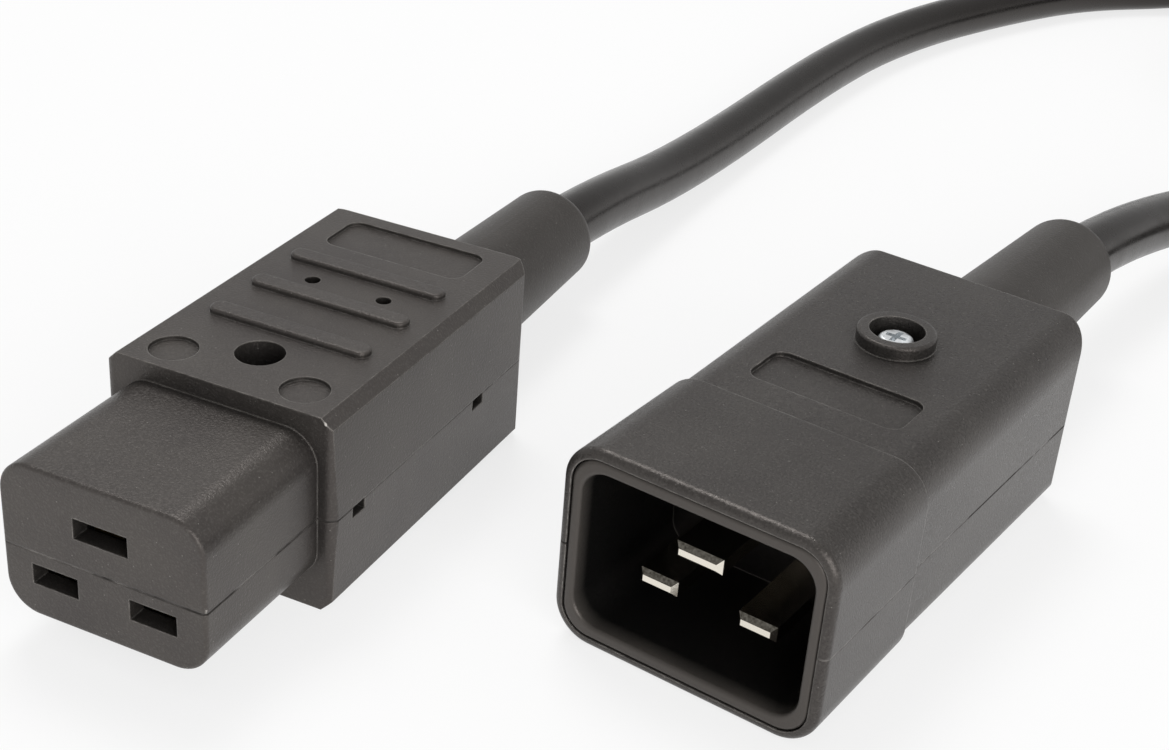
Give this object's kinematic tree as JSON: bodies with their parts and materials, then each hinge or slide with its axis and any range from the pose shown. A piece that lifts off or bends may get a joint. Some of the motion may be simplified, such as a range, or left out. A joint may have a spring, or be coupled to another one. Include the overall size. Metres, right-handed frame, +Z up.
{
  "type": "power cord",
  "caption": "Heavy power cord with a rewireable socket at one end and a rewireable plug with flat pins in a shroud at the other; its slack lies in a neat coil.",
  "frame": {"origin": "on the table, under the middle of the two ends, which lie side by side", "axes": "+Y from the mating faces back along the plug end, +X from the socket end towards the plug end, +Z up"},
  "size_m": [0.1857, 0.3539, 0.0279],
  "materials": {
    "shell": "spark-eroded charcoal",
    "carrier": "fine matt black",
    "sleeve": "matt",
    "cable": "semi-gloss jacket",
    "pin": "nickel-plated",
    "contact": "plain brass",
    "steel": "plain",
    "zinc": "bright zinc",
    "clamp": "matt",
    "core_earth": "green and yellow",
    "core_blue": "plain",
    "core_brown": "plain"
  },
  "bodies": {
    "root": {"socket_shell_upper": "shell", "socket_shell_lower": "shell", "socket_contact_earth": "contact", "socket_contact_left": "contact", "socket_contact_right": "contact", "socket_terminal_screws": "steel", "socket_core_earth": "core_earth", "socket_core_left": "core_blue", "socket_core_right": "core_brown", "socket_housing_screw": "zinc", "socket_housing_nut": "zinc", "socket_clamp_bar": "clamp", "socket_clamp_screws": "steel", "socket_bend_sleeve": "sleeve", "plug_shell_upper": "shell", "plug_shell_lower": "shell", "plug_pin_carrier": "carrier", "plug_pin_earth": "pin", "plug_pin_left": "pin", "plug_pin_right": "pin", "plug_terminal_screws": "steel", "plug_core_earth": "core_earth", "plug_core_left": "core_brown", "plug_core_right": "core_blue", "plug_housing_screw": "zinc", "plug_housing_nut": "zinc", "plug_clamp_bar": "clamp", "plug_clamp_screws": "steel", "plug_bend_sleeve": "sleeve", "cable_from_socket": "cable", "cable_coil": "cable", "cable_to_plug": "cable"}
  },
  "joints": []
}
